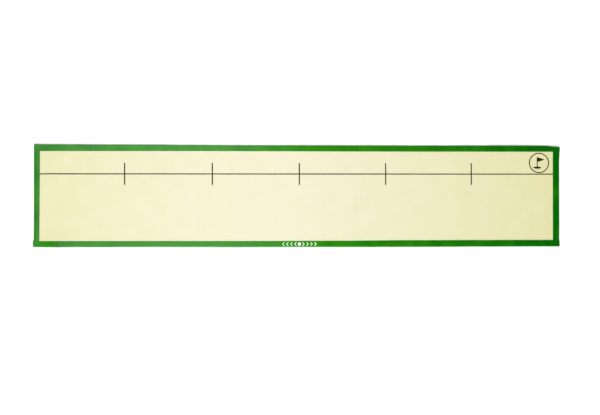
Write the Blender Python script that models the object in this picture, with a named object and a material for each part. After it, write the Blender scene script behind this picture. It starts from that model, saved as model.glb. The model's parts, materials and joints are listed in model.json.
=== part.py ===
"""Practice putting mat: a luminous film on a foam core, bound with green tape, with a scale of feet.

Run with: blender --background --python part.py
Metres, +Z up. X runs along the mat and Y across it. The origin is on the floor, under its middle.
"""

import math

import bmesh
import bpy

# Driving dimensions.
MAT_LENGTH = 1.846  # over the end bindings
MAT_WIDTH = 0.357  # over the long bindings
SEAT_GAP = 0.0003  # between two pieces that touch

BACKING_THICKNESS = 0.0010
CORE_THICKNESS = 0.0015
FILM_THICKNESS = 0.0004

TAPE_THICKNESS = 0.0006
BINDING_REACH = 0.021  # how far the tape reaches in from the mat's edge
THREAD_DIAMETER = 0.0004
SEAM_INSET = 0.0025  # from the tape's inner edge to the seam
SEAM_END_MARGIN = 0.003  # tape left unsewn at each end of a seam

INK_THICKNESS = 0.0001
MARK_SPACING = 0.3048  # one foot
MARK_COUNT = 5
MARK_LENGTH = 0.077
MARK_WIDTH = 0.0036
AIM_LINE_WIDTH = 0.0032
AIM_LINE_SETBACK = 0.101  # from the mat's back edge to the middle of the line

RING_STROKE = 0.003
RING_MARGIN = 0.0022  # from the ring to the aim line
RING_BACK_MARGIN = 0.0044  # from the ring to the back binding
RING_END_MARGIN = 0.0137  # from the ring to the right-hand binding
FLAG_MARGIN = 0.0125  # from the ring to the top and foot of the flag

# The pin flag's proportions, as shares of its height.
FLAG_POLE_WIDTH = 0.08
FLAG_PENNANT_LENGTH = 0.62
FLAG_PENNANT_DROP = 0.42
FLAG_CUP_WIDTH = 0.70
FLAG_CUP_DEPTH = 0.18

ARROWS_EACH_WAY = 4
ARROW_STROKE = 0.0038  # along the mat
ARROW_SLOPE = 0.006  # how far an arrow's point stands ahead of its tails
ARROW_GAP = 0.0102  # bare tape between one arrow and the next
DOT_GAP = 0.003  # from the dot to the first arrow's tails
PRINT_MARGIN = 0.0024  # bare tape between the print and the fold, and between the print and the seam

# How finely the round pieces are drawn.
RING_SIDES = 64
DOT_SIDES = 32
CUP_STEPS = 14
THREAD_BEVEL_RESOLUTION = 2
FOLD_SEGMENTS = 4
SHARP_ANGLE = math.radians(35)
OVERCUT = 0.002  # how far a cutter runs past an open face

# The layers, from the floor up. The backing and the tape's lower leg both hang from the core.
UNDER_CORE = max(BACKING_THICKNESS, TAPE_THICKNESS)
BACKING_BOTTOM = UNDER_CORE - BACKING_THICKNESS
TAPE_BOTTOM = UNDER_CORE - TAPE_THICKNESS
CORE_BOTTOM = UNDER_CORE + SEAT_GAP
CORE_TOP = CORE_BOTTOM + CORE_THICKNESS
FILM_BOTTOM = CORE_TOP + SEAT_GAP
FILM_TOP = FILM_BOTTOM + FILM_THICKNESS
FLAP_BOTTOM = FILM_TOP + SEAT_GAP
TAPE_TOP = FLAP_BOTTOM + TAPE_THICKNESS

# Places that several pieces share.
FOLD_RADIUS = 2 * TAPE_THICKNESS  # outside of a tape folded round its own thickness
SHEET_LENGTH = MAT_LENGTH - 2 * (TAPE_THICKNESS + SEAT_GAP)
SHEET_WIDTH = MAT_WIDTH - 2 * (TAPE_THICKNESS + SEAT_GAP)
WINDOW_LENGTH = MAT_LENGTH - 2 * BINDING_REACH  # the film that the bindings leave bare
WINDOW_WIDTH = MAT_WIDTH - 2 * BINDING_REACH
AIM_LINE_Y = MAT_WIDTH / 2 - AIM_LINE_SETBACK
SEAM_SETBACK = BINDING_REACH - SEAM_INSET  # from the binding's outer edge


def clear_scene():
    for obj in list(bpy.data.objects):
        bpy.data.objects.remove(obj, do_unlink=True)


def new_collection(name):
    collection = bpy.data.collections.new(name)
    bpy.context.scene.collection.children.link(collection)
    return collection


def new_material(name, colour, roughness, metallic=0.0):
    """A Principled material. The colour is linear red, green and blue."""
    material = bpy.data.materials.new(name)
    material.use_nodes = True
    shader = material.node_tree.nodes["Principled BSDF"]
    shader.inputs["Base Color"].default_value = (*colour, 1.0)
    shader.inputs["Roughness"].default_value = roughness
    shader.inputs["Metallic"].default_value = metallic
    material.diffuse_color = (*colour, 1.0)
    return material


def add_empty(name, parent=None, location=(0, 0, 0), turn=0.0):
    empty = bpy.data.objects.new(name, None)
    empty.location = location
    empty.rotation_euler.z = turn
    empty.parent = parent
    PARTS.objects.link(empty)
    return empty


def add_object(name, data, parent, material):
    obj = bpy.data.objects.new(name, data)
    obj.parent = parent
    data.materials.append(material)
    PARTS.objects.link(obj)
    return obj


def block(name, size, low_corner):
    """A box, given by its size and its lowest corner."""
    mesh = bpy.data.meshes.new(name)
    bm = bmesh.new()
    bmesh.ops.create_cube(bm, size=1.0)
    for vert in bm.verts:
        for axis in range(3):
            vert.co[axis] = low_corner[axis] + (vert.co[axis] + 0.5) * size[axis]
    bm.to_mesh(mesh)
    bm.free()
    return mesh


def add_sheet(name, length, width, bottom, thickness, material, centre=(0.0, 0.0)):
    """A level rectangular layer."""
    mesh = block(name, (length, width, thickness), (-length / 2, -width / 2, 0.0))
    sheet = add_object(name, mesh, MAT, material)
    sheet.location = (*centre, bottom)


def add_print(name, outlines, surface, material, parent, centre):
    """Ink on a level surface, over the area inside closed outlines of (x, y) points."""
    curve = bpy.data.curves.new(name, "CURVE")
    curve.dimensions = "2D"
    curve.fill_mode = "BOTH"
    curve.extrude = INK_THICKNESS / 2
    for outline in outlines:
        spline = curve.splines.new("POLY")
        spline.points.add(len(outline) - 1)
        for point, (x, y) in zip(spline.points, outline):
            point.co = (x, y, 0.0, 1.0)
        spline.use_cyclic_u = True
    ink = add_object(name, curve, parent, material)
    ink.location = (*centre, surface + SEAT_GAP + INK_THICKNESS / 2)


def circle(radius, sides):
    angles = [2 * math.pi * i / sides for i in range(sides)]
    return [(radius * math.cos(angle), radius * math.sin(angle)) for angle in angles]


def round_outer_edges(mesh, ends):
    """Rounds a binding's edges along its fold at y = 0 and, if its ends are folded in, round its two ends."""

    def lies_on(edge, axis, place):
        return all(abs(vert.co[axis] - place) < SEAT_GAP for vert in edge.verts)

    bm = bmesh.new()
    bm.from_mesh(mesh)
    picked = []
    for edge in bm.edges:
        on_fold = lies_on(edge, 1, 0.0)
        on_end = any(lies_on(edge, 0, x) for x in ends)
        level = edge.verts[0].co.z == edge.verts[1].co.z
        if (on_fold and on_end) or (level and (on_fold or on_end)):
            picked.append(edge)
    bmesh.ops.bevel(bm, geom=picked, offset=FOLD_RADIUS, segments=FOLD_SEGMENTS, profile=0.5, affect="EDGES")
    bm.to_mesh(mesh)
    bm.free()
    mesh.shade_smooth()
    mesh.set_sharp_from_angle(angle=SHARP_ANGLE)


def add_binding(side, name, length, ends_folded):
    """A tape folded over one edge of the mat, with a pocket that the core and the film fill.

    The side's empty has X along the edge and Y inwards from it.
    """
    half = length / 2
    outside = block(name, (length, BINDING_REACH, TAPE_TOP - TAPE_BOTTOM), (-half, 0.0, TAPE_BOTTOM))
    round_outer_edges(outside, (-half, half) if ends_folded else ())
    tape = add_object(name, outside, side, GREEN_TAPE)

    pocket_half = half - TAPE_THICKNESS if ends_folded else half + OVERCUT
    pocket_size = (2 * pocket_half, BINDING_REACH - TAPE_THICKNESS + OVERCUT, FLAP_BOTTOM - UNDER_CORE)
    pocket = block(name + "_pocket", pocket_size, (-pocket_half, TAPE_THICKNESS, UNDER_CORE))
    cutter = bpy.data.objects.new(name + "_pocket", pocket)
    cutter.parent = side
    cutter.hide_render = True
    cutter.display_type = "WIRE"
    CUTTERS.objects.link(cutter)

    cut = tape.modifiers.new("pocket", "BOOLEAN")
    cut.operation = "DIFFERENCE"
    cut.solver = "EXACT"
    cut.object = cutter


def add_seam(side, name, length):
    """The thread that is sewn along one binding, lying on the tape."""
    half = length / 2 - SEAM_END_MARGIN
    curve = bpy.data.curves.new(name, "CURVE")
    curve.dimensions = "3D"
    curve.bevel_depth = THREAD_DIAMETER / 2
    curve.bevel_resolution = THREAD_BEVEL_RESOLUTION
    curve.use_fill_caps = True
    spline = curve.splines.new("POLY")
    spline.points.add(1)
    for point, x in zip(spline.points, (-half, half)):
        point.co = (x, SEAM_SETBACK, TAPE_TOP + SEAT_GAP + THREAD_DIAMETER / 2, 1.0)
    add_object(name, curve, side, GREEN_THREAD)


def add_edges():
    """The bindings and their seams. The long tapes close the corners and the short ones butt against them."""
    short = WINDOW_WIDTH - 2 * SEAT_GAP
    sides = {
        "front": (MAT_LENGTH, (0, -MAT_WIDTH / 2, 0), 0),
        "back": (MAT_LENGTH, (0, MAT_WIDTH / 2, 0), 180),
        "left": (short, (-MAT_LENGTH / 2, 0, 0), -90),
        "right": (short, (MAT_LENGTH / 2, 0, 0), 90),
    }
    for where, (length, location, turn) in sides.items():
        side = add_empty(where + "_side", MAT, location, math.radians(turn))
        add_binding(side, "binding_" + where, length, ends_folded=length == MAT_LENGTH)
        add_seam(side, "seam_" + where, length)
        if where == "front":
            add_arrows(side)


def add_layers():
    """The sheets that the bindings hold together, from the floor up."""
    backing_length = WINDOW_LENGTH - 2 * SEAT_GAP
    backing_width = WINDOW_WIDTH - 2 * SEAT_GAP
    add_sheet("grip_backing", backing_length, backing_width, BACKING_BOTTOM, BACKING_THICKNESS, GREY_RUBBER)
    add_sheet("foam_core", SHEET_LENGTH, SHEET_WIDTH, CORE_BOTTOM, CORE_THICKNESS, WHITE_FOAM)
    add_sheet("luminous_film", SHEET_LENGTH, SHEET_WIDTH, FILM_BOTTOM, FILM_THICKNESS, GLOW_FILM)


def add_scale():
    """The aim line and the foot marks that cross it. The line is in lengths, since a mark takes its place."""
    ink_bottom = FILM_TOP + SEAT_GAP
    first = -MARK_SPACING * (MARK_COUNT - 1) / 2
    marks = [first + MARK_SPACING * i for i in range(MARK_COUNT)]
    for number, x in enumerate(marks, 1):
        name = f"foot_mark_{number}"
        add_sheet(name, MARK_WIDTH, MARK_LENGTH, ink_bottom, INK_THICKNESS, BLACK_INK, (x, AIM_LINE_Y))

    line_end = WINDOW_LENGTH / 2 - SEAT_GAP
    mark_room = MARK_WIDTH / 2 + SEAT_GAP
    starts = [-line_end] + [x + mark_room for x in marks]
    stops = [x - mark_room for x in marks] + [line_end]
    for number, (start, stop) in enumerate(zip(starts, stops), 1):
        name = f"aim_line_{number}"
        centre = ((start + stop) / 2, AIM_LINE_Y)
        add_sheet(name, stop - start, AIM_LINE_WIDTH, ink_bottom, INK_THICKNESS, BLACK_INK, centre)


def flag_outline(height):
    """A pin flag centred on the origin: a pole that stands in an oval cup, with a pennant at its top."""
    half_pole = FLAG_POLE_WIDTH * height / 2
    top = height / 2
    cup_x, cup_y = FLAG_CUP_WIDTH * height / 2, FLAG_CUP_DEPTH * height / 2
    cup_middle = -top + cup_y
    # The cup's arc runs round below, from the pole's left side to its right side.
    meets = math.asin(half_pole / cup_x)
    angles = [math.pi / 2 + meets + 2 * (math.pi - meets) * i / CUP_STEPS for i in range(CUP_STEPS + 1)]
    cup = [(cup_x * math.cos(angle), cup_middle + cup_y * math.sin(angle)) for angle in angles]
    drop = FLAG_PENNANT_DROP * height
    tip = half_pole + FLAG_PENNANT_LENGTH * height
    upper = [(half_pole, top - drop), (tip, top - drop / 2), (half_pole, top), (-half_pole, top)]
    middle = (tip - cup_x) / 2
    return [(x - middle, y) for x, y in cup + upper]


def add_ring():
    """The ring at the right-hand end, in the room between the aim line and the back binding."""
    low = AIM_LINE_Y + AIM_LINE_WIDTH / 2 + RING_MARGIN
    high = WINDOW_WIDTH / 2 - RING_BACK_MARGIN
    outer = (high - low) / 2
    inner = outer - RING_STROKE
    centre = (WINDOW_LENGTH / 2 - RING_END_MARGIN - outer, (high + low) / 2)
    ring = [circle(outer, RING_SIDES), circle(inner, RING_SIDES)]
    flag = [flag_outline(2 * (inner - FLAG_MARGIN))]
    add_print("ring_outline", ring, FILM_TOP, BLACK_INK, MAT, centre)
    add_print("ring_flag", flag, FILM_TOP, BLACK_INK, MAT, centre)


def add_arrows(front_side):
    """Arrows on the front binding that point both ways from a dot in the middle."""
    low = FOLD_RADIUS + PRINT_MARGIN
    high = SEAM_SETBACK - THREAD_DIAMETER / 2 - PRINT_MARGIN
    height = high - low
    middle = (low + high) / 2
    dot = circle(height / 2, DOT_SIDES)
    add_print("tape_dot", [dot], TAPE_TOP, WHITE_INK, front_side, (0.0, middle))

    nearest = height / 2 + DOT_GAP
    for way, word in ((-1, "left"), (1, "right")):
        arrow = [
            (0.0, height / 2),
            (way * ARROW_SLOPE, 0.0),
            (0.0, -height / 2),
            (way * ARROW_STROKE, -height / 2),
            (way * (ARROW_STROKE + ARROW_SLOPE), 0.0),
            (way * ARROW_STROKE, height / 2),
        ]
        for i in range(ARROWS_EACH_WAY):
            centre = (way * (nearest + (ARROW_STROKE + ARROW_GAP) * i), middle)
            add_print(f"tape_arrow_{word}_{i + 1}", [arrow], TAPE_TOP, WHITE_INK, front_side, centre)


clear_scene()
PARTS = new_collection("putting_mat")
CUTTERS = new_collection("cutters")

GLOW_FILM = new_material("glow_film", (0.82, 0.80, 0.53), 0.38)
GREEN_TAPE = new_material("green_tape", (0.014, 0.205, 0.008), 0.36)
GREEN_THREAD = new_material("green_thread", (0.020, 0.230, 0.014), 0.60)
WHITE_FOAM = new_material("white_foam", (0.78, 0.78, 0.76), 0.90)
GREY_RUBBER = new_material("grey_rubber", (0.035, 0.036, 0.038), 0.85)
BLACK_INK = new_material("black_ink", (0.014, 0.012, 0.008), 0.45)
WHITE_INK = new_material("white_ink", (0.78, 0.82, 0.74), 0.45)

MAT = add_empty("putting_mat")
add_layers()
add_scale()
add_ring()
add_edges()
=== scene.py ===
"""Finished look of a practice putting mat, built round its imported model. Metres, +Z up.

A pale luminous vinyl film lies on a foam sheet with a rubber back. Green vinyl tape is folded over the edges
and sewn down. The film is printed with an aim line, marks one foot apart and a ring with a pin flag, and the
front tape with arrows. Every piece is laid out flat first. It then settles into the faint waves that a mat
keeps from being rolled up.
"""

import json
import math
from functools import partial

import bmesh
import bpy
import numpy as np
from bpy.props import FloatProperty, FloatVectorProperty, IntProperty, PointerProperty
from mathutils import Color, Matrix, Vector

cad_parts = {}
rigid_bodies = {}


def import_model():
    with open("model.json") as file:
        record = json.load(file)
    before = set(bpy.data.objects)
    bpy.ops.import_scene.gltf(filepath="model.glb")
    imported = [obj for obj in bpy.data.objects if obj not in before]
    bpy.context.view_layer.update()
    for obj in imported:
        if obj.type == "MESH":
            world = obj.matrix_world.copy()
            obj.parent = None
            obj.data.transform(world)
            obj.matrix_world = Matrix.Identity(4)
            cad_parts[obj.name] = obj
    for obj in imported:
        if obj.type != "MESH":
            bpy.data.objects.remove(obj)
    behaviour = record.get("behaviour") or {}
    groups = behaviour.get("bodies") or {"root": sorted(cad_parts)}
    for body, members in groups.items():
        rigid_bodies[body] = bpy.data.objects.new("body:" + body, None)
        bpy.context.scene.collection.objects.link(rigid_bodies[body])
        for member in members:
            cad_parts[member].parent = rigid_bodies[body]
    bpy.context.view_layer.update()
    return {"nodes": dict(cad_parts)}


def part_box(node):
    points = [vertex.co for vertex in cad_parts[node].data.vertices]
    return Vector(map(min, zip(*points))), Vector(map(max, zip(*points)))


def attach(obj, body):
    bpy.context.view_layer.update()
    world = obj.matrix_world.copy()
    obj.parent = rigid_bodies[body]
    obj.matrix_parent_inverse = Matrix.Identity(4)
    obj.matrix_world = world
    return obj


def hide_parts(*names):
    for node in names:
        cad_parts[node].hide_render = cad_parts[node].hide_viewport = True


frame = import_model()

bl_info = {
    "name": "Putting Mat",
    "version": (1, 0, 0),
    "blender": (4, 5, 0),
    "location": "3D View > Sidebar > Putting Mat",
    "description": "Builds the pieces of a practice putting mat with their finishes",
    "category": "Object",
}

MM = 0.001


def low(node):
    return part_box(node)[0]


def high(node):
    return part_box(node)[1]


def size(node):
    return high(node) - low(node)


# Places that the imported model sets.
MAT_LENGTH = size("binding_front").x
MAT_WIDTH = high("binding_back").y - low("binding_front").y
TAPE_REACH = size("binding_front").y
TAPE_BOTTOM = low("binding_front").z
TAPE_TOP = high("binding_front").z
TAPE_MIDDLE = (TAPE_BOTTOM + TAPE_TOP) / 2
PRINT_BOTTOM = low("foot_mark_1").z
SHORT_TAPE = size("binding_left").y
AIM_LINE_Y = (low("aim_line_1").y + high("aim_line_1").y) / 2
MARKS = sorted(name for name in frame["nodes"] if name.startswith("foot_mark"))
LINES = sorted(name for name in frame["nodes"] if name.startswith("aim_line"))
ARROWS = sorted(name for name in frame["nodes"] if name.startswith("tape_arrow"))
MARK_SPACING = low(MARKS[1]).x - low(MARKS[0]).x
ARROW_SPACING = low("tape_arrow_right_2").x - low("tape_arrow_right_1").x

# The waves left from being rolled: height, wavelength, phase, and how far the phase leans across the mat.
ROLL_WAVES = (
    (0.55 * MM, 0.710, 0.4, 1.3),
    (0.28 * MM, 0.290, 1.9, -4.0),
    (0.12 * MM, 0.137, 4.0, 6.0),
)
# The long edges ripple a little more than the middle.
RIPPLE_HEIGHT = 0.35 * MM
RIPPLE_LENGTH = 0.118
RIPPLE_REACH = 0.030
# Loose corners: which corner, how high it stands, and how far in from it the mat starts to lift.
CORNER_CURLS = (
    ((-1, 1), 1.2 * MM, 0.060),
    ((1, 1), 2.2 * MM, 0.070),
    ((1, -1), 1.6 * MM, 0.070),
)
# Bulges where the mat hasn't flattened: middle, height, and reach along and across the mat.
BULGES = (
    ((-0.825, -0.170), 3.4 * MM, (0.085, 0.100)),
    ((-0.840, 0.060), 1.6 * MM, (0.080, 0.160)),
    ((0.760, 0.150), 1.3 * MM, (0.120, 0.090)),
)

# How far each tape strays from its straight line: places along X or Y, and offsets.
# An outer offset is outwards from the mat, and an inner one is further in over the film.
OUTER_STRAY = {
    "front": ((-0.923, -1.8), (-0.83, -1.0), (-0.62, -0.9), (-0.17, 0.9), (0.36, 1.5), (0.71, 1.0),
              (0.923, 1.0)),
    "back": ((-0.923, 2.2), (-0.83, 1.4), (-0.62, 0.7), (-0.17, -0.7), (0.36, -0.5), (0.80, 0.2),
             (0.87, -0.1), (0.933, -4.6)),
    "left": ((-0.157, 0.6), (-0.125, -0.3), (0.0, -0.4), (0.157, -0.2)),
    "right": ((-0.157, 1.2), (-0.105, 2.0), (0.0, 2.1), (0.115, 2.35), (0.157, 3.6)),
}
INNER_STRAY = {
    "front": ((-0.90, 1.3), (-0.55, 0.6), (-0.17, -0.3), (0.18, 0.1), (0.36, 1.2), (0.90, 1.4)),
    "back": ((-0.90, 0.7), (-0.31, 0.1), (0.0, 0.5), (0.18, 0.7), (0.90, 0.4)),
    "left": ((-0.157, -1.2), (0.157, 0.2)),
    "right": ((-0.157, 0.7), (0.157, 0.0)),
}
# How far the ends of the long tapes run past the short ones, at the left and at the right.
END_STRAY = {"front": (2.6, 2.2), "back": (-0.4, 4.2)}

# The film and the tape are painted palest at these places along the mat and deeper towards its ends: painted
# light, with a painted reflection on the tape.
FILM_PAINTED_LIGHT_PLACE = -0.11
TAPE_PAINTED_LIGHT_PLACE = -0.30
PAINTED_LIGHT_FALLOFF_POWER = 1.4

# How finely the sheets and the prints are cut, so that they follow the waves.
FILM_STEP = 8 * MM
HIDDEN_STEP = 12 * MM
PRINT_STEP = 8 * MM
# Edges that turn by more than this are drawn sharp.
SHEET_SHARP_ANGLE = math.radians(40)
TAPE_SHARP_ANGLE = math.radians(50)

# Kinds of node that many of the trees use, and a Mix node's two inputs for colours.
MATH = "ShaderNodeMath"
RANGE = "ShaderNodeMapRange"
NOISE = "ShaderNodeTexNoise"
WAVE = "ShaderNodeTexWave"
MIX = "ShaderNodeMix"
BUMP = "ShaderNodeBump"
SPLIT = "ShaderNodeSeparateXYZ"
JOIN = "ShaderNodeCombineXYZ"
PLACE = "GeometryNodeInstanceOnPoints"
MIX_A, MIX_B = 6, 7


def linear(code):
    """A colour given as sRGB hex, as linear numbers."""
    parts = [int(code[i : i + 2], 16) / 255 for i in (1, 3, 5)]
    return Color([c / 12.92 if c <= 0.04045 else ((c + 0.055) / 1.055) ** 2.4 for c in parts])


# ---- sizes and colours a user would change


def length_prop(name, description, default, low_limit=0.0):
    return FloatProperty(
        name=name, description=description, default=default, min=low_limit, precision=5, unit="LENGTH"
    )


def colour_prop(name, description, code):
    return FloatVectorProperty(
        name=name, description=description, default=linear(code), size=3, min=0, max=1, subtype="COLOR"
    )


class PuttingMatSizes(bpy.types.PropertyGroup):
    film_thickness: length_prop("Film", "Thickness of the luminous film", 0.5 * MM)
    sheet_inset: length_prop("Sheet inset", "From the mat's edge to the film and the foam", 4.5 * MM)
    print_thickness: length_prop("Print", "Thickness of the printed ink", 0.06 * MM)
    tape_thickness: length_prop("Tape", "Thickness of the vinyl tape", 0.55 * MM)
    fold_radius: length_prop("Fold", "How far the tape takes to turn over the edge", 1.7 * MM)
    seam_inset: length_prop("Seam inset", "From the tape's inner edge to the seam", 2.5 * MM)
    stitch_pitch: length_prop("Stitch pitch", "From one stitch to the next", 3.0 * MM, 0.5 * MM)
    stitch_length: length_prop("Stitch length", "Thread that shows between two needle holes", 2.5 * MM)
    thread_diameter: length_prop("Thread", "Diameter of the sewing thread", 0.45 * MM)
    ink_spread: length_prop("Ink spread", "How far black ink spreads past its line", 0.3 * MM)
    ring_stroke: length_prop("Ring stroke", "Width of the printed ring's line", 3.0 * MM)
    arrow_stroke: length_prop("Arrow stroke", "Width of an arrow along the mat", 3.8 * MM)
    dot_pitch: length_prop("Grip dot pitch", "From one rubber dot to the next", 13.0 * MM, 2 * MM)
    dot_diameter: length_prop("Grip dot", "Diameter of a rubber dot", 4.2 * MM)
    dot_height: length_prop("Grip dot height", "How far a dot stands out of the backing", 0.35 * MM)
    dot_sides: IntProperty(name="Grip dot sides", description="Sides of a rubber dot", default=10, min=5)


class PuttingMatColours(bpy.types.PropertyGroup):
    # The pale and deep colours of the film and the tape are mixed by painted light along the mat, as well as
    # by random clouds and patches.
    film_pale: colour_prop("Film, pale", "Luminous film at its palest", "#DCD7BA")
    film_deep: colour_prop("Film, deep", "Luminous film where its pigment is densest", "#D0CD9C")
    tape_pale: colour_prop("Tape, pale", "Vinyl tape where it is palest", "#288306")
    tape_deep: colour_prop("Tape, deep", "Vinyl tape where it is deepest", "#005D00")
    thread: colour_prop("Thread", "Sewing thread", "#2C8A22")
    black_ink: colour_prop("Black ink", "Printed line, marks and ring", "#241D0E")
    white_ink: colour_prop("White ink", "Printed arrows", "#D6EACA")
    rubber: colour_prop("Rubber", "Grip backing", "#2B2C2E")
    foam: colour_prop("Foam", "Foam core", "#E4E3DD")


class PuttingMatStage(bpy.types.PropertyGroup):
    floor: colour_prop("Floor", "Paper floor", "#F4F4F4")
    key_strength: FloatProperty(name="Key", description="Broad light from the front", default=2.47, min=0)
    top_power: FloatProperty(
        name="Top", description="Softbox overhead at the left", default=19.5, min=0, unit="POWER"
    )
    room: FloatProperty(name="Room", description="Brightness of the white walls", default=1.04, min=0)


# ---- how the mat lies


def lift(x, y):
    """How far the mat stands off the floor at points (x, y)."""
    height = np.zeros_like(x)
    for wave, wavelength, phase, lean in ROLL_WAVES:
        height += wave * (1 + np.sin(2 * np.pi * x / wavelength + phase + lean * y)) / 2
    from_edge = np.maximum(MAT_WIDTH / 2 - np.abs(y), 0)
    ripple = (1 + np.sin(2 * np.pi * x / RIPPLE_LENGTH + 9 * y)) / 2
    height += RIPPLE_HEIGHT * ripple * np.exp(-from_edge / RIPPLE_REACH)
    for (side_x, side_y), curl, reach in CORNER_CURLS:
        away = np.hypot(x - side_x * MAT_LENGTH / 2, y - side_y * MAT_WIDTH / 2)
        height += curl * np.clip(1 - away / reach, 0, 1) ** 2
    for (middle_x, middle_y), bulge, (reach_x, reach_y) in BULGES:
        away = np.hypot((x - middle_x) / reach_x, (y - middle_y) / reach_y)
        height += bulge * (1 + np.cos(np.pi * np.clip(away, 0, 1))) / 2
    return height


def settle(mesh):
    """Moves a mesh that was laid out flat on to the mat's waves."""
    points = np.empty(len(mesh.vertices) * 3)
    mesh.vertices.foreach_get("co", points)
    points = points.reshape(-1, 3)
    points[:, 2] += lift(points[:, 0], points[:, 1])
    mesh.vertices.foreach_set("co", points.ravel())
    mesh.update()


def stray(table, at):
    """The offset in metres at places along a side, eased between the points of a table."""
    places, offsets = np.array(table).T
    i = np.clip(np.searchsorted(places, at) - 1, 0, len(places) - 2)
    share = np.clip((at - places[i]) / (places[i + 1] - places[i]), 0, 1)
    share = share * share * (3 - 2 * share)
    return MM * (offsets[i] + (offsets[i + 1] - offsets[i]) * share)


def drift(seed, at, wavelength):
    """A smooth random wander between -1 and 1 along a side, the same each time."""
    knots = np.random.default_rng(seed).uniform(-1, 1, int(2.5 / wavelength) + 3)
    place = (at + 1.25) / wavelength
    i = place.astype(int)
    share = place - i
    share = share * share * (3 - 2 * share)
    return knots[i] + (knots[i + 1] - knots[i]) * share


# ---- pieces and node trees


def renewed(blocks, name, *details):
    """A new block of data in place of the last one with its name."""
    old = blocks.get(name)
    if old:
        blocks.remove(old)
    return blocks.new(name, *details)


def add_object(name, data):
    obj = renewed(bpy.data.objects, name, data)
    bpy.context.scene.collection.objects.link(obj)
    return obj


def add_piece(name, mesh, material, slot, *nodes):
    """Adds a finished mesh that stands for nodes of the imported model."""
    mesh.materials.clear()
    mesh.materials.append(material)
    piece = add_object(name, mesh)
    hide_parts(*nodes)
    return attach(piece, "root")


def plain_mesh(name, data, change=None):
    """The mesh that a mesh or a curve comes to, once change has given its object modifiers."""
    obj = add_object(name, data)
    if change:
        change(obj)
    graph = bpy.context.evaluated_depsgraph_get()
    mesh = bpy.data.meshes.new_from_object(obj.evaluated_get(graph), depsgraph=graph)
    mesh.name = name
    obj.modifiers.clear()
    bpy.data.objects.remove(obj)
    return mesh


def feed(node, inputs):
    """Fills a node's inputs with values, or links them to sockets, nodes or a list of nodes."""
    for key, value in inputs.items():
        for source in value if isinstance(value, list) else [value]:
            if isinstance(source, bpy.types.Node):
                source = next(socket for socket in source.outputs if socket.enabled)
            if isinstance(source, bpy.types.NodeSocket):
                node.id_data.links.new(source, node.inputs[key])
            else:
                node.inputs[key].default_value = (*source, 1) if isinstance(source, Color) else source


def add_node(tree, kind, inputs=None, **settings):
    """Adds a node with its settings and inputs."""
    made = tree.nodes.new(kind)
    for key, value in settings.items():
        setattr(made, key, value)
    feed(made, inputs or {})
    return made


def new_tree(name, **inputs):
    """A Geometry Nodes tree with named inputs. Returns the function that adds its nodes, and its inputs."""
    tree = renewed(bpy.data.node_groups, name, "GeometryNodeTree")
    tree.interface.new_socket("Geometry", in_out="OUTPUT", socket_type="NodeSocketGeometry")
    for key, kind in {"geometry": "Geometry", **inputs, "material": "Material"}.items():
        tree.interface.new_socket(key, in_out="INPUT", socket_type="NodeSocket" + kind)
    return partial(add_node, tree), tree.nodes.new("NodeGroupInput").outputs


def finished_tree(add, given, shape):
    """Ends a tree and returns it: instances are made real and take the material."""
    real = add("GeometryNodeRealizeInstances", {0: shape})
    painted = add("GeometryNodeSetMaterial", {"Geometry": real, "Material": given["material"]})
    return add("NodeGroupOutput", {0: painted}).id_data


def grown_mesh(name, tree, data=None, **values):
    """The plain mesh that a Geometry Nodes tree makes with these values, on its own or from a curve."""

    def give(obj):
        nodes = obj.modifiers.new(tree.name, "NODES")
        nodes.node_group = tree
        for item in tree.interface.items_tree:
            if item.in_out == "INPUT" and item.name in values:
                nodes[item.identifier] = values[item.name]

    return plain_mesh(name, data or bpy.data.meshes.new(name), give)


def grid_sheet(name, low_corner, high_corner, step):
    """A closed sheet, cut into squares so that it follows the mat's waves."""
    span = high_corner - low_corner
    bm = bmesh.new()
    bmesh.ops.create_grid(bm, x_segments=round(span.x / step), y_segments=round(span.y / step), size=0.5)
    for vert in bm.verts:
        vert.co.x = low_corner.x + (vert.co.x + 0.5) * span.x
        vert.co.y = low_corner.y + (vert.co.y + 0.5) * span.y
        vert.co.z = high_corner.z
    mesh = bpy.data.meshes.new(name)
    bm.to_mesh(mesh)
    bm.free()
    settle(mesh)

    def thicken(obj):
        solid = obj.modifiers.new("thickness", "SOLIDIFY")
        solid.thickness = span.z
        solid.offset = -1

    thick = plain_mesh(name, mesh, thicken)
    thick.shade_smooth()
    thick.set_sharp_from_angle(angle=SHEET_SHARP_ANGLE)
    return thick


def outline_mesh(name, outlines, thickness, longest):
    """A flat print from closed outlines of (x, y) points, cut so that no edge is much over longest."""
    curve = bpy.data.curves.new(name, "CURVE")
    curve.dimensions = "2D"
    curve.fill_mode = "BOTH"
    curve.extrude = thickness / 2
    for outline in outlines:
        spline = curve.splines.new("POLY")
        spline.points.add(len(outline) - 1)
        for point, (x, y) in zip(spline.points, outline):
            point.co = (x, y, 0, 1)
        spline.use_cyclic_u = True
    mesh = plain_mesh(name, curve)
    bm = bmesh.new()
    bm.from_mesh(mesh)
    bmesh.ops.remove_doubles(bm, verts=bm.verts, dist=thickness / 10)
    while long_edges := [edge for edge in bm.edges if edge.calc_length() > longest]:
        bmesh.ops.subdivide_edges(bm, edges=long_edges, cuts=1)
        bmesh.ops.triangulate(bm, faces=bm.faces)
    bm.to_mesh(mesh)
    bm.free()
    return mesh


def circle(radius, sides):
    angles = [2 * math.pi * i / sides for i in range(sides)]
    return [(radius * math.cos(angle), radius * math.sin(angle)) for angle in angles]


def moved(mesh, x, y, z):
    """Moves a mesh's points and lays it on the mat."""
    for vert in mesh.vertices:
        vert.co += Vector((x, y, z))
    settle(mesh)
    return mesh


# ---- finishes


def per(distance):
    """A texture scale that gives noise of this size in metres."""
    return 1 / distance


def bands(distance):
    """A Wave texture scale that gives bands this far apart in metres."""
    return math.pi / 10 / distance


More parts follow.
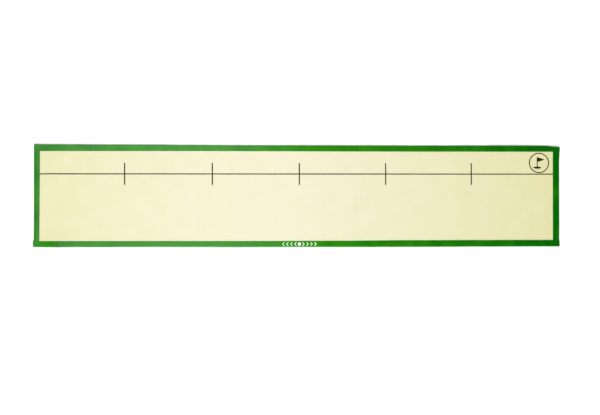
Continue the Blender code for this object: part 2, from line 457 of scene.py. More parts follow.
def new_material(name, **shader_values):
    """A Principled material. Returns it, the function that adds its nodes, its shader and its coordinates."""
    material = renewed(bpy.data.materials, name)
    material.use_nodes = True
    tree = material.node_tree
    shader = tree.nodes["Principled BSDF"]
    feed(shader, {key.replace("_", " "): value for key, value in shader_values.items()})
    coordinates = tree.nodes.new("ShaderNodeTexCoord").outputs["Object"]
    return material, partial(add_node, tree), shader, coordinates


def scaled(colour, *shares):
    """A colour with each part multiplied by its share, or all of them by the only share."""
    return Color([part * share for part, share in zip(colour, shares * (3 // len(shares)))])


def painted_light_falloff(add, coordinates, place):
    """Painted light falloff: from 0 at the place along the mat that is painted brightest to 1 at the mat's
    right end.
    """
    x = add(SPLIT, {0: coordinates}).outputs[0]
    apart = add(MATH, {0: x, 1: place}, operation="SUBTRACT")
    apart = add(MATH, {0: apart}, operation="ABSOLUTE")
    share = add(RANGE, {0: apart, 2: MAT_LENGTH / 2 - place})
    return add(MATH, {0: share, 1: PAINTED_LIGHT_FALLOFF_POWER}, operation="POWER")


def film_finish(colours):
    """Calendered soft PVC with strontium aluminate pigment: cloudy, speckled, with a semi-gloss skin."""
    material, add, shader, at = new_material("luminous_pvc_film", IOR=1.53)
    clouds = add(NOISE, {"Vector": at, "Scale": per(70 * MM), "Detail": 3.0})
    clouds = add(RANGE, {0: clouds, 1: 0.3, 2: 0.7, 3: -0.12, 4: 0.12})
    # The shade mixes painted light, palest just left of the middle and deeper towards both ends, with random
    # clouds.
    shade = add(MATH, {0: painted_light_falloff(add, at, FILM_PAINTED_LIGHT_PLACE), 1: clouds}, operation="ADD")
    colour = add(MIX, {"Factor": shade, MIX_A: colours.film_pale, MIX_B: colours.film_deep}, data_type="RGBA")
    # Pigment grains are well under 0.1 mm, so they are drawn as 0.6 mm clusters that can be seen.
    grains = add(NOISE, {"Vector": at, "Scale": per(0.6 * MM)})
    grains = add(RANGE, {0: grains, 1: 0.35, 2: 0.65, 3: 0.965, 4: 1.035})
    speckled = {"Factor": 1.0, MIX_A: colour, MIX_B: grains}
    speckled = add(MIX, speckled, data_type="RGBA", blend_type="MULTIPLY")
    gloss = add(NOISE, {"Vector": at, "Scale": per(35 * MM), "Detail": 4.0})
    gloss = add(RANGE, {0: gloss, 1: 0.3, 2: 0.7, 3: 0.36, 4: 0.46})
    # The calender leaves a fine orange peel, and rolling it up leaves long soft creases across it.
    peel = add(NOISE, {"Vector": at, "Scale": per(2.5 * MM), "Detail": 1.0})
    peel = add(RANGE, {0: peel, 4: 0.03 * MM})
    stretched = add("ShaderNodeMapping", {"Vector": at, "Scale": (1.0, 0.15, 1.0)})
    creases = add(NOISE, {"Vector": stretched, "Scale": per(30 * MM)})
    creases = add(RANGE, {0: creases, 4: 0.25 * MM})
    relief = add(MATH, {0: peel, 1: creases}, operation="ADD")
    bump = add(BUMP, {"Height": relief, "Distance": 1.0, "Strength": 0.7})
    feed(shader, {"Base Color": speckled, "Roughness": gloss, "Normal": bump})
    return material


def tape_finish(colours):
    """Vinyl-coated scrim tape: glossy green plastic with the weave of the cloth showing through."""
    material, add, shader, at = new_material("green_vinyl_tape", IOR=1.52)
    patches = add(NOISE, {"Vector": at, "Scale": per(85 * MM)})
    patches = add(RANGE, {0: patches, 1: 0.3, 2: 0.7, 3: -0.30, 4: 0.30})
    # The shade mixes painted light and a painted reflection of the softbox, palest a little left of the
    # middle and deeper towards both ends, with random patches.
    shade = add(MATH, {0: painted_light_falloff(add, at, TAPE_PAINTED_LIGHT_PLACE), 1: patches}, operation="ADD")
    colour = add(MIX, {"Factor": shade, MIX_A: colours.tape_pale, MIX_B: colours.tape_deep}, data_type="RGBA")
    scuffs = add(NOISE, {"Vector": at, "Scale": per(25 * MM), "Detail": 4.0, "Roughness": 0.6})
    gloss = add(RANGE, {0: scuffs, 1: 0.3, 2: 0.75, 3: 0.10, 4: 0.22})
    # Threads 1.1 mm apart, coarser than real scrim so that they can be seen.
    thread_bands = {"Vector": at, "Scale": bands(1.1 * MM)}
    warp = add(WAVE, thread_bands, bands_direction="X").outputs["Fac"]
    weft = add(WAVE, thread_bands, bands_direction="Y").outputs["Fac"]
    weave = add(MATH, {0: warp, 1: weft}, operation="ADD")
    weave = add(RANGE, {0: weave, 2: 2.0, 4: 0.015 * MM})
    wrinkles = add(NOISE, {"Vector": at, "Scale": per(18 * MM)})
    wrinkles = add(RANGE, {0: wrinkles, 4: 0.20 * MM})
    relief = add(MATH, {0: weave, 1: wrinkles}, operation="ADD")
    bump = add(BUMP, {"Height": relief, "Distance": 1.0, "Strength": 0.8})
    feed(shader, {"Base Color": colour, "Roughness": gloss, "Normal": bump})
    return material


def thread_finish(colours):
    """Three-ply polyester sewing thread: soft sheen and a slanting twist."""
    looks = {"Roughness": 0.55, "Sheen_Weight": 0.25, "Sheen_Roughness": 0.4}
    material, add, shader, at = new_material("polyester_thread", **looks)
    ply_bands = {"Vector": at, "Scale": bands(0.5 * MM)}
    twist = add(WAVE, ply_bands, bands_direction="DIAGONAL").outputs["Fac"]
    # Painted shade: the grooves between the plies are painted darker.
    dark = scaled(colours.thread, 0.55)
    colour = add(MIX, {"Factor": twist, MIX_A: dark, MIX_B: colours.thread}, data_type="RGBA")
    relief = add(RANGE, {0: twist, 4: 0.06 * MM})
    bump = add(BUMP, {"Height": relief, "Distance": 1.0})
    feed(shader, {"Base Color": colour, "Normal": bump})
    return material


def black_ink_finish(colours):
    """Solvent screen ink on vinyl: a dense warm black, dull, thinner where the mesh marked it."""
    looks = {"IOR": 1.48, "Specular_IOR_Level": 0.15, "Specular_Tint": linear("#FFE9B0")}
    material, add, shader, at = new_material("black_screen_ink", **looks)
    patchy = add(NOISE, {"Vector": at, "Scale": per(4.0 * MM), "Detail": 4.0})
    thinness = add(RANGE, {0: patchy, 1: 0.45, 2: 0.75, 4: 0.6})
    thin = scaled(colours.black_ink, 2.2)
    colour = add(MIX, {"Factor": thinness, MIX_A: colours.black_ink, MIX_B: thin}, data_type="RGBA")
    gloss = add(RANGE, {0: patchy, 1: 0.3, 2: 0.7, 3: 0.40, 4: 0.55})
    feed(shader, {"Base Color": colour, "Roughness": gloss})
    return material


def white_ink_finish(colours):
    """White screen ink on green tape: a little green shows where the ink is thin."""
    material, add, shader, at = new_material("white_screen_ink", IOR=1.48)
    patchy = add(NOISE, {"Vector": at, "Scale": per(3.0 * MM), "Detail": 4.0})
    thinness = add(RANGE, {0: patchy, 1: 0.5, 2: 0.8, 4: 0.8})
    thin = scaled(colours.white_ink, 0.72, 0.86, 0.70)
    colour = add(MIX, {"Factor": thinness, MIX_A: colours.white_ink, MIX_B: thin}, data_type="RGBA")
    gloss = add(RANGE, {0: patchy, 1: 0.3, 2: 0.7, 3: 0.38, 4: 0.50})
    feed(shader, {"Base Color": colour, "Roughness": gloss})
    return material


def rubber_finish(colours):
    """Open-texture nitrile rubber: nearly black, dull, with a bloom of pale dust."""
    material, add, shader, at = new_material("nitrile_rubber", IOR=1.52)
    dust = add(NOISE, {"Vector": at, "Scale": per(50 * MM), "Detail": 6.0, "Roughness": 0.7})
    dustiness = add(RANGE, {0: dust, 1: 0.4, 2: 0.75})
    dusty = Color([part + 0.035 for part in colours.rubber])
    colour = add(MIX, {"Factor": dustiness, MIX_A: colours.rubber, MIX_B: dusty}, data_type="RGBA")
    gloss = add(RANGE, {0: dust, 1: 0.3, 2: 0.7, 3: 0.72, 4: 0.92})
    grain = add(NOISE, {"Vector": at, "Scale": per(0.8 * MM), "Detail": 3.0})
    grain = add(RANGE, {0: grain, 4: 0.10 * MM})
    bump = add(BUMP, {"Height": grain, "Distance": 1.0})
    feed(shader, {"Base Color": colour, "Roughness": gloss, "Normal": bump})
    return material


def foam_finish(colours):
    """Closed-cell polyethylene foam: off-white, matt, with cells about 0.8 mm across."""
    material, add, shader, at = new_material("polyethylene_foam", Roughness=0.85)
    cells = add("ShaderNodeTexVoronoi", {"Vector": at, "Scale": per(0.8 * MM)})
    depth = cells.outputs["Distance"]
    # Painted shade: the low grooves between the cells are painted darker.
    darkness = add(RANGE, {0: depth, 2: 0.8})
    dark = scaled(colours.foam, 0.8)
    colour = add(MIX, {"Factor": darkness, MIX_A: colours.foam, MIX_B: dark}, data_type="RGBA")
    relief = add(RANGE, {0: depth, 3: 0.1 * MM, 4: 0.0})
    bump = add(BUMP, {"Height": relief, "Distance": 1.0})
    feed(shader, {"Base Color": colour, "Normal": bump})
    return material


def paper_finish(colour):
    """Seamless background paper: white and matt, with a faint tooth."""
    material, add, shader, at = new_material("background_paper", Roughness=0.95)
    tooth = add(NOISE, {"Vector": at, "Scale": per(1.5 * MM), "Detail": 3.0})
    tooth = add(RANGE, {0: tooth, 1: 0.3, 2: 0.7, 3: 0.99, 4: 1.0})
    shaded = {"Factor": 1.0, MIX_A: colour, MIX_B: tooth}
    shaded = add(MIX, shaded, data_type="RGBA", blend_type="MULTIPLY")
    feed(shader, {"Base Color": shaded})
    return material


# ---- sheets


# A grip dot's tip is this share of its width, and its root goes this far into the backing.
DOT_TAPER = 0.62
DOT_ROOT = 0.05 * MM


def inside_tape(sizes, bottom, top):
    """Two corners of a box between two heights that fills the space inside the tape."""
    corner = Vector((MAT_LENGTH / 2 - sizes.sheet_inset, MAT_WIDTH / 2 - sizes.sheet_inset, top))
    return Vector((-corner.x, -corner.y, bottom)), corner


class MESH_OT_mat_film(bpy.types.Operator):
    """Lay the luminous film"""

    bl_idname = "mesh.mat_film"
    bl_label = "Luminous Film"

    def execute(self, context):
        sizes = context.scene.mat_sizes
        finish = film_finish(context.scene.mat_colours)
        opposite, corner = inside_tape(sizes, PRINT_BOTTOM - sizes.film_thickness, PRINT_BOTTOM)
        mesh = grid_sheet("film_sheet", opposite, corner, FILM_STEP)
        film = add_piece("film_sheet", mesh, finish, "glow_film", "luminous_film")
        return {"FINISHED"}


class MESH_OT_mat_core(bpy.types.Operator):
    """Lay the foam core"""

    bl_idname = "mesh.mat_core"
    bl_label = "Foam Core"

    def execute(self, context):
        sizes = context.scene.mat_sizes
        finish = foam_finish(context.scene.mat_colours)
        box = inside_tape(sizes, high("grip_backing").z, PRINT_BOTTOM - sizes.film_thickness)
        mesh = grid_sheet("foam_sheet", *box, HIDDEN_STEP)
        foam = add_piece("foam_sheet", mesh, finish, "white_foam", "foam_core")
        return {"FINISHED"}


def dot_tree():
    """Rubber dots in staggered rows, points down, with their tips at z = 0."""
    add, given = new_tree(
        "Grip dots", columns="Int", rows="Int", pitch="Float", row_pitch="Float", radius="Float",
        height="Float", sides="Int",
    )
    grid_inputs = {"Vertices X": given["columns"], "Vertices Y": given["rows"]}
    for side, count, pitch in (("Size X", "columns", "pitch"), ("Size Y", "rows", "row_pitch")):
        gaps = add(MATH, {0: given[count], 1: 1.0}, operation="SUBTRACT")
        grid_inputs[side] = add(MATH, {0: gaps, 1: given[pitch]}, operation="MULTIPLY")
    grid = add("GeometryNodeMeshGrid", grid_inputs)
    aside = add(JOIN, {0: given["pitch"], 1: given["row_pitch"]})
    aside = add("ShaderNodeVectorMath", {0: aside, "Scale": 0.5}, operation="SCALE")
    second = add("GeometryNodeTransform", {"Geometry": grid, "Translation": aside})
    both = add("GeometryNodeJoinGeometry", {0: [grid, second]})
    tip = add(MATH, {0: given["radius"], 1: DOT_TAPER}, operation="MULTIPLY")
    shape = {"Radius Bottom": tip, "Radius Top": given["radius"], "Depth": given["height"]}
    dot = add("GeometryNodeMeshCone", {"Vertices": given["sides"], **shape})
    placed = add(PLACE, {"Points": both, "Instance": dot})
    return finished_tree(add, given, placed)


class MESH_OT_mat_backing(bpy.types.Operator):
    """Mould the rubber backing and its grip dots"""

    bl_idname = "mesh.mat_backing"
    bl_label = "Rubber Backing"

    def execute(self, context):
        sizes = context.scene.mat_sizes
        rubber = rubber_finish(context.scene.mat_colours)
        bottom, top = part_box("grip_backing")
        lifted = Vector((bottom.x, bottom.y, bottom.z + sizes.dot_height))
        sheet = grid_sheet("rubber_sheet", lifted, top, HIDDEN_STEP)
        sheet = add_piece("rubber_sheet", sheet, rubber, "grey_rubber", "grip_backing")

        pitch = sizes.dot_pitch
        row_pitch = pitch * math.sqrt(3)
        columns, rows = int((top.x - bottom.x) / pitch), int((top.y - bottom.y) / row_pitch)
        dots = grown_mesh(
            "grip_dots", dot_tree(), columns=columns, rows=rows, pitch=pitch, row_pitch=row_pitch,
            radius=sizes.dot_diameter / 2, height=sizes.dot_height + DOT_ROOT, sides=sizes.dot_sides,
            material=rubber,
        )
        # A quarter back each way, because the second lot of dots is half a pitch on from the first.
        moved(dots, -pitch / 4, -row_pitch / 4, bottom.z)
        add_piece("grip_dots", dots, rubber, "grey_rubber")
        return {"FINISHED"}


# ---- tape and seams


# How much the fold's width wanders, as a share, and over what length in metres.
FOLD_WANDER, FOLD_WANDER_LENGTH = 0.25, 0.05
# How proud the tape stands between fold and seam, where nothing presses it down: in mm, with two wanders.
TAPE_PUFF = 0.16
PUFF_WANDER, PUFF_WANDER_LENGTH = 0.10, 0.06
PUFF_RIPPLE, PUFF_RIPPLE_LENGTH = 0.05, 0.017
# How deep a stitch pulls the tape down, and how far that reaches to each side of the seam.
STITCH_PULL = 0.05 * MM
STITCH_REACH = 1.1 * MM
# Where a section has points to each side of the seam.
SEAM_POINTS = np.array([-0.8, -0.3, 0.0, 0.3, 0.8, 1.6]) * MM
# The tape's inner edge stands up a little, and is rounded.
LIP_LIFT = 0.06 * MM
LIP_ROUNDING = 0.12 * MM
# The folded-in ends of the long tapes: their rounding, and how far in from the fold they draw back.
END_RADIUS = 1.3 * MM
END_DRAW = 3 * MM
# How far the seams stop from the ends, and how deep the thread goes into a needle hole.
SEAM_MARGIN = 3 * MM
NEEDLE_BITE = 0.35 * MM


class TapeSide:
    """One side of the mat. Places along it are s, and places in from its edge are t."""

    def __init__(self, name):
        self.name = name
        self.long = name in ("front", "back")
        self.half = MAT_LENGTH / 2 if self.long else SHORT_TAPE / 2
        self.ends = [MM * end for end in END_STRAY.get(name, (0, 0))]
        if name == "back":
            self.ends.reverse()
        turns = {"front": 0, "right": 1, "back": 2, "left": 3}
        self.turn = turns[name] * math.pi / 2

    def world_place(self, s):
        """X along a long side or Y along a short one, which the stray tables use."""
        return s if self.name in ("front", "right") else -s

    def to_mat(self, s, t, z):
        """Points on the mat, laid out flat."""
        edge = MAT_WIDTH / 2 if self.long else MAT_LENGTH / 2
        along, inwards = s, t - edge
        cos, sin = round(math.cos(self.turn)), round(math.sin(self.turn))
        return np.stack([cos * along - sin * inwards, sin * along + cos * inwards, z], axis=-1)

    def outer(self, s):
        return -stray(OUTER_STRAY[self.name], self.world_place(s))

    def inner(self, s):
        return TAPE_REACH + stray(INNER_STRAY[self.name], self.world_place(s))


def tape_sections(side, s, sizes):
    """The tape's outer and inner faces at places s: arrays of (place, point round the fold, (t, z))."""
    seed = len(side.name) + 10 * side.long
    edge, lip = side.outer(s)[:, None], side.inner(s)[:, None]
    seam = lip - sizes.seam_inset
    fold = sizes.fold_radius * (1 + FOLD_WANDER * drift(seed, s, FOLD_WANDER_LENGTH)[:, None])
    half_height = (TAPE_TOP - TAPE_BOTTOM) / 2

    puff = TAPE_PUFF + PUFF_WANDER * drift(seed + 1, s, PUFF_WANDER_LENGTH)
    puff = (puff + PUFF_RIPPLE * drift(seed + 2, s, PUFF_RIPPLE_LENGTH))[:, None] * MM
    stitch = np.cos(2 * np.pi * s / sizes.stitch_pitch)[:, None]

    def top(t):
        share = np.clip((t - edge) / (seam - edge), 0, 1)
        crown = puff * np.sin(np.pi * share) ** 0.7
        near = np.exp(-(((t - seam) / STITCH_REACH) ** 2))
        past = np.clip((t - seam) / sizes.seam_inset, 0, 1)
        return TAPE_TOP + crown - STITCH_PULL * near * (1 + stitch) + LIP_LIFT * past**2

    turn = np.radians(np.linspace(-90, 90, 9))
    span = lip - edge - fold
    bottom_t = edge + fold + span * np.array([1.0, 0.66, 0.33])
    fold_t = edge + fold - fold * np.cos(turn)
    crown_span = seam - SEAM_POINTS[-1] - edge - fold
    crown_t = edge + fold + crown_span * np.array([0.2, 0.4, 0.6, 0.8, 1.0])
    top_t = np.concatenate([crown_t, seam + SEAM_POINTS, lip - LIP_ROUNDING, lip], axis=1)
    top_z = top(top_t)
    top_z[:, -1] -= LIP_ROUNDING
    fold_z = TAPE_MIDDLE + half_height * np.sin(turn) * np.ones_like(fold_t)
    fold_z[:, -1:] = top(fold_t[:, -1:])
    bottom_z = TAPE_BOTTOM * np.ones_like(bottom_t)
    outer_t = np.concatenate([bottom_t, fold_t, top_t], 1)
    outer = np.stack([outer_t, np.concatenate([bottom_z, fold_z, top_z], 1)], -1)

    thick = sizes.tape_thickness
    inner_turn = (half_height - thick) / half_height
    inner_t = np.concatenate([bottom_t, edge + fold - (fold - thick) * np.cos(turn), top_t], 1)
    inner_fold_z = TAPE_MIDDLE + inner_turn * (fold_z - TAPE_MIDDLE)
    inner_z = np.concatenate([bottom_z + thick, inner_fold_z, top_z - thick], 1)
    inner_z[:, -1] = top_z[:, -2] - thick
    return outer, np.stack([inner_t, inner_z], -1)


def round_end(outer, gap):
    """Draws a section in towards the tape's middle, as a folded end does, at a distance gap from the end."""
    if gap >= END_RADIUS:
        return outer
    draw = END_RADIUS - math.sqrt(END_RADIUS**2 - (END_RADIUS - gap) ** 2)
    drawn = outer.copy()
    height = outer[:, 1] - TAPE_MIDDLE
    drawn[:, 1] = TAPE_MIDDLE + height * (1 - draw / np.abs(height).max())
    drawn[:, 0] += draw * np.clip(1 - (outer[:, 0] - outer[:, 0].min()) / END_DRAW, 0, 1)
    return drawn


def tape_mesh(side, sizes):
    """A folded tape as one closed mesh. Long tapes have folded-in ends and short ones are open."""
    start, stop = -side.half - side.ends[0], side.half + side.ends[1]
    # Three sections to a stitch show how it pulls the tape down.
    step = sizes.stitch_pitch / 3
    s = np.linspace(start, stop, round((stop - start) / step) + 1)
    if side.long:
        near = np.array([0.0, 0.05, 0.2, 0.5, 0.9]) * END_RADIUS
        straight = s[(s > start + END_RADIUS) & (s < stop - END_RADIUS)]
        s = np.concatenate([start + near, straight, stop - near[::-1]])
    outer, inner = tape_sections(side, s, sizes)
    if side.long:
        for i, place in enumerate(s):
            outer[i] = round_end(outer[i], min(place - start, stop - place))

    count, points = outer.shape[:2]
    stations = np.repeat(s[:, None], points, axis=1)
    verts = [side.to_mat(stations, face[..., 0], face[..., 1]).reshape(-1, 3) for face in (outer, inner)]

    def out(i, j):
        return i * points + j

    def inn(i, j):
        return (count + i) * points + j

    # The pocket starts this many sections in from a folded-in end.
    skip = 4 if side.long else 0
    last, end = points - 1, count - 1
    faces = []
    for i in range(end):
        for j in range(last):
            faces.append((out(i, j), out(i, j + 1), out(i + 1, j + 1), out(i + 1, j)))
    for i in range(skip, end - skip):
        for j in range(last):
            faces.append((inn(i, j), inn(i + 1, j), inn(i + 1, j + 1), inn(i, j + 1)))
        faces.append((out(i, 0), out(i + 1, 0), inn(i + 1, 0), inn(i, 0)))
        faces.append((inn(i, last), inn(i + 1, last), out(i + 1, last), out(i, last)))
    for near, far in ((0, skip), (end, end - skip)):
        if side.long:
            step_in = 1 if near == 0 else -1
            mouth = [out(i, 0) for i in range(near, far + step_in, step_in)]
            mouth += [inn(far, 0), inn(far, last)]
            mouth += [out(i, last) for i in range(far, near - step_in, -step_in)]
            faces.append(mouth)
            faces.append([out(near, j) for j in range(points)])
            faces.append([inn(far, j) for j in range(points)])
        else:
            for j in range(last):
                faces.append((out(near, j), inn(near, j), inn(near, j + 1), out(near, j + 1)))
    mesh = bpy.data.meshes.new("tape_" + side.name)
    mesh.from_pydata(np.concatenate(verts).tolist(), [], faces)
    bm = bmesh.new()
    bm.from_mesh(mesh)
    bmesh.ops.delete(bm, geom=[vert for vert in bm.verts if not vert.link_faces], context="VERTS")
    bmesh.ops.recalc_face_normals(bm, faces=bm.faces)
    bm.to_mesh(mesh)
    bm.free()
    settle(mesh)
    mesh.shade_smooth()
    mesh.set_sharp_from_angle(angle=TAPE_SHARP_ANGLE)
    return mesh


SIDES = ("front", "back", "left", "right")


class MESH_OT_mat_tape(bpy.types.Operator):
    """Fold the vinyl tape over the four edges"""

    bl_idname = "mesh.mat_tape"
    bl_label = "Vinyl Tape"

    def execute(self, context):
        finish = tape_finish(context.scene.mat_colours)
        for name in SIDES:
            mesh = tape_mesh(TapeSide(name), context.scene.mat_sizes)
            add_piece("tape_" + name, mesh, finish, "green_tape", "binding_" + name)
        return {"FINISHED"}


def stitch_tree():
    """Stitches along a curve: short arcs of thread whose ends go down into needle holes."""
    add, given = new_tree("Stitches", pitch="Float", reach="Float", radius="Float", bite="Float")
    along = {"Curve": given["geometry"], "Length": given["pitch"]}
    points = add("GeometryNodeCurveToPoints", along, mode="LENGTH")
    back = add(MATH, {0: given["reach"], 1: -1.0}, operation="MULTIPLY")
    down = add(MATH, {0: given["bite"], 1: -1.0}, operation="MULTIPLY")
    start, end = add(JOIN, {0: back, 2: down}), add(JOIN, {0: given["reach"], 2: down})
    bend = {"Start": start, "Middle": add(JOIN, {2: given["bite"]}), "End": end}
    arc = add("GeometryNodeCurveQuadraticBezier", {"Resolution": 6, **bend})
    ring = add("GeometryNodeCurvePrimitiveCircle", {"Resolution": 7, "Radius": given["radius"]})
    thread = add("GeometryNodeCurveToMesh", {"Curve": arc, "Profile Curve": ring, "Fill Caps": True})
    tangent = {"Vector": points.outputs["Tangent"]}
    facing = add("FunctionNodeAlignRotationToVector", tangent, axis="X", pivot_axis="Z")
    stitches = {"Points": points, "Instance": thread, "Rotation": facing}
    return finished_tree(add, given, add(PLACE, stitches))


class MESH_OT_mat_seams(bpy.types.Operator):
    """Sew the tape down with lockstitches"""

    bl_idname = "mesh.mat_seams"
    bl_label = "Seams"

    def execute(self, context):
        sizes = context.scene.mat_sizes
        finish = thread_finish(context.scene.mat_colours)
        tree = stitch_tree()
        for name in SIDES:
            side = TapeSide(name)
            count = int(2 * (side.half - SEAM_MARGIN) / sizes.stitch_pitch)
            # Half a pitch out of step with the needle holes, so that a stitch spans two holes.
            reach = sizes.stitch_pitch * (count // 2 - 0.5)
            s = np.linspace(-reach, reach, 2 * (count // 2))
            t = side.inner(s) - sizes.seam_inset
            points = side.to_mat(s, t, np.full_like(s, TAPE_TOP))
            path = bpy.data.curves.new("seam_path", "CURVE")
            path.dimensions = "3D"
            spline = path.splines.new("POLY")
            spline.points.add(len(points) - 1)
            for point, place in zip(spline.points, points):
                point.co = (*place, 1)
            mesh = grown_mesh(
                "stitches_" + name, tree, path, pitch=sizes.stitch_pitch, reach=sizes.stitch_length / 2,
                radius=sizes.thread_diameter / 2, bite=NEEDLE_BITE, material=finish,
            )
            settle(mesh)
            mesh.shade_smooth()
            add_piece("stitches_" + name, mesh, finish, "green_thread", "seam_" + name)
        return {"FINISHED"}


# ---- prints


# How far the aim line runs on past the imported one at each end.
LINE_OVERRUN = 1 * MM
RING_SIDES = 96
PRINTED_DOT_SIDES = 40


def scale_tree():
    """A line with marks across it at equal spacing, centred on the origin."""
    add, given = new_tree(
        "Scale", line_length="Float", line_width="Float", marks="Int", spacing="Float",
        mark_length="Float", mark_width="Float", thickness="Float", cell="Float",
    )
    # The marks are a little thicker than the line, so that no two faces lie in one plane.
    over = add(MATH, {0: given["thickness"], 1: 1.25}, operation="MULTIPLY")
    bars = []
    for x, y, z in (
        (given["line_length"], given["line_width"], given["thickness"]),
        (given["mark_width"], given["mark_length"], over),
    ):
        bar = {"Size": add(JOIN, {0: x, 1: y, 2: z})}
        for count, span in (("Vertices X", x), ("Vertices Y", y)):
            cells = add(MATH, {0: span, 1: given["cell"]}, operation="DIVIDE")
            bar[count] = add(MATH, {0: cells, 1: 2.0}, operation="ADD")
        bars.append(add("GeometryNodeMeshCube", bar))
    gaps = add(MATH, {0: given["marks"], 1: 1.0}, operation="SUBTRACT")
    span = add(MATH, {0: gaps, 1: given["spacing"]}, operation="MULTIPLY")
    first = add(JOIN, {0: add(MATH, {0: span, 1: -0.5}, operation="MULTIPLY")})
    apart = add(JOIN, {0: given["spacing"]})
    row = {"Count": given["marks"], "Start Location": first, "Offset": apart}
    places = add("GeometryNodeMeshLine", row)
    marks = add(PLACE, {"Points": places, "Instance": bars[1]})
    both = add("GeometryNodeJoinGeometry", {0: [bars[0], marks]})
    return finished_tree(add, given, both)


def flag_outline(height):
    """A pin flag centred on the origin: a pole in an oval cup, with a pennant at its top."""
    pole, pennant, drop, cup_width, cup_depth = (height * share for share in (0.08, 0.62, 0.42, 0.70, 0.18))
    half_pole, top = pole / 2, height / 2
    cup_middle = -top + cup_depth / 2
    meets = math.asin(pole / cup_width)
    steps = 24
    angles = [math.pi / 2 + meets + 2 * (math.pi - meets) * i / steps for i in range(steps + 1)]
    cup = [(cup_width / 2 * math.cos(a), cup_middle + cup_depth / 2 * math.sin(a)) for a in angles]
    tip = half_pole + pennant
    upper = [(half_pole, top - drop), (tip, top - drop / 2), (half_pole, top), (-half_pole, top)]
    middle = (tip - cup_width / 2) / 2
    return [(x - middle, y) for x, y in cup + upper]


class MESH_OT_mat_prints(bpy.types.Operator):
    """Print the scale and the ring on the film"""

    bl_idname = "mesh.mat_prints"
    bl_label = "Black Prints"

    def execute(self, context):
        sizes = context.scene.mat_sizes
        ink = black_ink_finish(context.scene.mat_colours)
        mark = size(MARKS[0])
        line_length = high(LINES[-1]).x - low(LINES[0]).x + 2 * LINE_OVERRUN
        thickness = sizes.print_thickness
        scale = grown_mesh(
            "scale_print", scale_tree(), line_length=line_length,
            line_width=size(LINES[0]).y + 2 * sizes.ink_spread, marks=len(MARKS), spacing=MARK_SPACING,
            mark_length=mark.y, mark_width=mark.x + 2 * sizes.ink_spread, thickness=thickness,
            cell=PRINT_STEP, material=ink,
        )
        moved(scale, 0, AIM_LINE_Y, PRINT_BOTTOM + thickness / 2)
        add_piece("scale_print", scale, ink, "black_ink", *LINES, *MARKS)

        for name, node in (("ring_print", "ring_outline"), ("flag_print", "ring_flag")):
            bottom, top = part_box(node)
            if node == "ring_flag":
                outlines = [flag_outline(top.y - bottom.y)]
            else:
                outer = (top.x - bottom.x) / 2 + sizes.ink_spread
                inner = (top.x - bottom.x) / 2 - sizes.ring_stroke - sizes.ink_spread
                outlines = [circle(outer, RING_SIDES), circle(inner, RING_SIDES)]
            mesh = outline_mesh(name, outlines, thickness, PRINT_STEP)
            centre = (bottom + top) / 2
            moved(mesh, centre.x, centre.y, PRINT_BOTTOM + thickness / 2)
            add_piece(name, mesh, ink, "black_ink", node)
        return {"FINISHED"}


def arrow_tree():
    """Arrows both ways from a dot at the origin."""
    add, given = new_tree(
        "Arrows", arrow="Object", count="Int", first="Float", spacing="Float", dot_radius="Float",
        thickness="Float",
    )
    arrow = add("GeometryNodeObjectInfo", {"Object": given["arrow"]}).outputs["Geometry"]
    first, apart = add(JOIN, {0: given["first"]}), add(JOIN, {0: given["spacing"]})
    row = {"Count": given["count"], "Start Location": first, "Offset": apart}
    places = add("GeometryNodeMeshLine", row)
    one_way = add(PLACE, {"Points": places, "Instance": arrow})
    other_way = add("GeometryNodeTransform", {"Geometry": one_way, "Rotation": (0, 0, math.pi)})
    disc = {"Radius": given["dot_radius"], "Depth": given["thickness"]}
    dot = add("GeometryNodeMeshCylinder", {"Vertices": PRINTED_DOT_SIDES, **disc})
    joined = add("GeometryNodeJoinGeometry", {0: [one_way, other_way, dot]})
    return finished_tree(add, given, joined)


class MESH_OT_mat_arrows(bpy.types.Operator):
    """Print the arrows on the front tape"""

    bl_idname = "mesh.mat_arrows"
    bl_label = "White Arrows"

    def execute(self, context):
        sizes = context.scene.mat_sizes
        ink = white_ink_finish(context.scene.mat_colours)
        bottom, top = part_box("tape_arrow_right_1")
        stroke, thickness = sizes.arrow_stroke, sizes.print_thickness
        tip, half = top.x - bottom.x, (top.y - bottom.y) / 2
        point = tip - stroke
        outline = [(0, half), (point, 0), (0, -half), (stroke, -half), (tip, 0), (stroke, half)]
        arrow = bpy.data.objects.new("arrow", outline_mesh("arrow", [outline], thickness, PRINT_STEP))
        dot_low, dot_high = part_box("tape_dot")
        mesh = grown_mesh(
            "arrow_print", arrow_tree(), arrow=arrow, count=len(ARROWS) // 2, first=bottom.x,
            spacing=ARROW_SPACING, dot_radius=(dot_high.x - dot_low.x) / 2, thickness=thickness,
            material=ink,
        )
        bpy.data.objects.remove(arrow)
        # The print follows the tape's crown between the fold and the seam, sunk in by a quarter.
        side = TapeSide("front")
        columns = np.array([vert.co.x for vert in mesh.vertices])
        middle = (bottom.y + top.y) / 2
        outer, _ = tape_sections(side, columns, sizes)
        for vert, section in zip(mesh.vertices, outer):
            vert.co.y += middle
            across = vert.co.y + MAT_WIDTH / 2
            crest = section[section[:, 1] > TAPE_MIDDLE]
            vert.co.z += np.interp(across, crest[:, 0], crest[:, 1]) + thickness / 4
        settle(mesh)
        add_piece("arrow_print", mesh, ink, "white_ink", *ARROWS, "tape_dot")
        return {"FINISHED"}


# ---- stage


FLOOR_REACH = 15
# The key light is a broad sun, seen this many degrees wide.
KEY_PLACE, KEY_TARGET, KEY_DEGREES = (-0.1, -1.9, 2.6), (-0.1, 0, 0), 22
SOFTBOX_PLACE, SOFTBOX_TARGET, SOFTBOX_SIZE = (-1.025, 0, 3.4), (-1.025, 0, 0), (1.75, 3.0)
# Where the walls end and the ceiling starts, from 0 at the horizon to 1 overhead, and the ceiling's share
# of the walls' light.
WALLS_END, CEILING_START, CEILING_SHARE = 0.60, 0.85, 0.01
CAMERA_LENS = 50
CAMERA_PLACE, CAMERA_DEGREES = (-0.1105, -0.0706, 2.9301), (0.596, -2.204, -0.078)


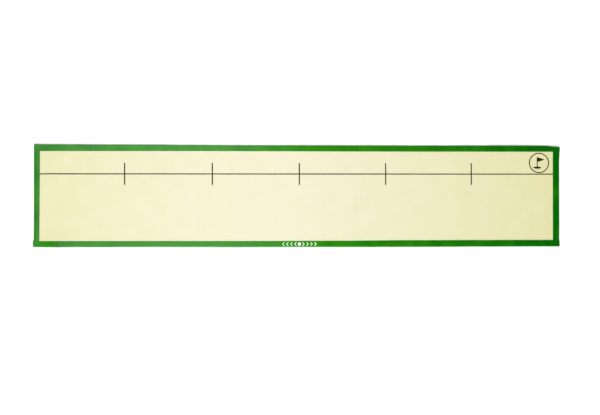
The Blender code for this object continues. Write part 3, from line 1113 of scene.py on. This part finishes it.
class MESH_OT_mat_stage(bpy.types.Operator):
    """Set the paper floor, the lights and the camera"""

    bl_idname = "mesh.mat_stage"
    bl_label = "Stage"

    def execute(self, context):
        stage = context.scene.mat_stage
        bm = bmesh.new()
        bmesh.ops.create_grid(bm, x_segments=8, y_segments=8, size=FLOOR_REACH)
        floor_mesh = bpy.data.meshes.new("floor")
        bm.to_mesh(floor_mesh)
        bm.free()
        floor_mesh.materials.append(paper_finish(stage.floor))
        floor = add_object("floor", floor_mesh)

        def aim(light, place, target):
            lamp = add_object(light.name, light)
            lamp.location = place
            lamp.rotation_euler = (Vector(target) - Vector(place)).to_track_quat("-Z", "Y").to_euler()

        key = renewed(bpy.data.lights, "key_light", "SUN")
        key.energy, key.angle = stage.key_strength, math.radians(KEY_DEGREES)
        aim(key, KEY_PLACE, KEY_TARGET)
        top = renewed(bpy.data.lights, "top_softbox", "AREA")
        top.shape = "RECTANGLE"
        top.size, top.size_y = SOFTBOX_SIZE
        top.energy = stage.top_power
        aim(top, SOFTBOX_PLACE, SOFTBOX_TARGET)

        world = renewed(bpy.data.worlds, "white_room")
        context.scene.world = world
        world.use_nodes = True
        add = partial(add_node, world.node_tree)
        # White walls and a dark ceiling, so that the film's gloss comes from the lights.
        upwards = add("ShaderNodeTexCoord").outputs["Generated"]
        height = add(SPLIT, {0: upwards}).outputs[2]
        walls, ceiling = stage.room, CEILING_SHARE * stage.room
        glow = add(RANGE, {0: height, 1: WALLS_END, 2: CEILING_START, 3: walls, 4: ceiling})
        feed(world.node_tree.nodes["Background"], {"Color": (1, 1, 1, 1), "Strength": glow})

        camera = renewed(bpy.data.cameras, "camera")
        camera.lens = CAMERA_LENS
        camera.clip_start, camera.clip_end = 0.01, 100
        eye = add_object("camera", camera)
        eye.location = CAMERA_PLACE
        eye.rotation_euler = [math.radians(angle) for angle in CAMERA_DEGREES]
        context.scene.camera = eye
        context.scene.view_settings.view_transform = "Standard"
        return {"FINISHED"}


# ---- panel and registration


OPERATORS = (
    MESH_OT_mat_stage,
    MESH_OT_mat_core,
    MESH_OT_mat_film,
    MESH_OT_mat_backing,
    MESH_OT_mat_tape,
    MESH_OT_mat_seams,
    MESH_OT_mat_prints,
    MESH_OT_mat_arrows,
)
GROUPS = {"mat_sizes": PuttingMatSizes, "mat_colours": PuttingMatColours, "mat_stage": PuttingMatStage}


class VIEW3D_PT_putting_mat(bpy.types.Panel):
    """Sizes, colours and pieces of the putting mat"""

    bl_label = "Putting Mat"
    bl_space_type = "VIEW_3D"
    bl_region_type = "UI"
    bl_category = "Putting Mat"

    def draw(self, context):
        for name, group in GROUPS.items():
            box = self.layout.box()
            box.label(text=name[4:].title())
            for key in group.__annotations__:
                box.prop(getattr(context.scene, name), key)
        for operator in OPERATORS:
            self.layout.operator(operator.bl_idname)


CLASSES = (*GROUPS.values(), *OPERATORS, VIEW3D_PT_putting_mat)


def register():
    for cls in CLASSES:
        bpy.utils.register_class(cls)
    for name, group in GROUPS.items():
        setattr(bpy.types.Scene, name, PointerProperty(type=group))


def unregister():
    for name in GROUPS:
        delattr(bpy.types.Scene, name)
    for cls in reversed(CLASSES):
        bpy.utils.unregister_class(cls)


def main():
    register()
    bpy.ops.mesh.mat_stage()
    bpy.ops.mesh.mat_core()
    bpy.ops.mesh.mat_film()
    bpy.ops.mesh.mat_backing()
    bpy.ops.mesh.mat_tape()
    bpy.ops.mesh.mat_seams()
    bpy.ops.mesh.mat_prints()
    bpy.ops.mesh.mat_arrows()


if __name__ == "__main__":
    main()
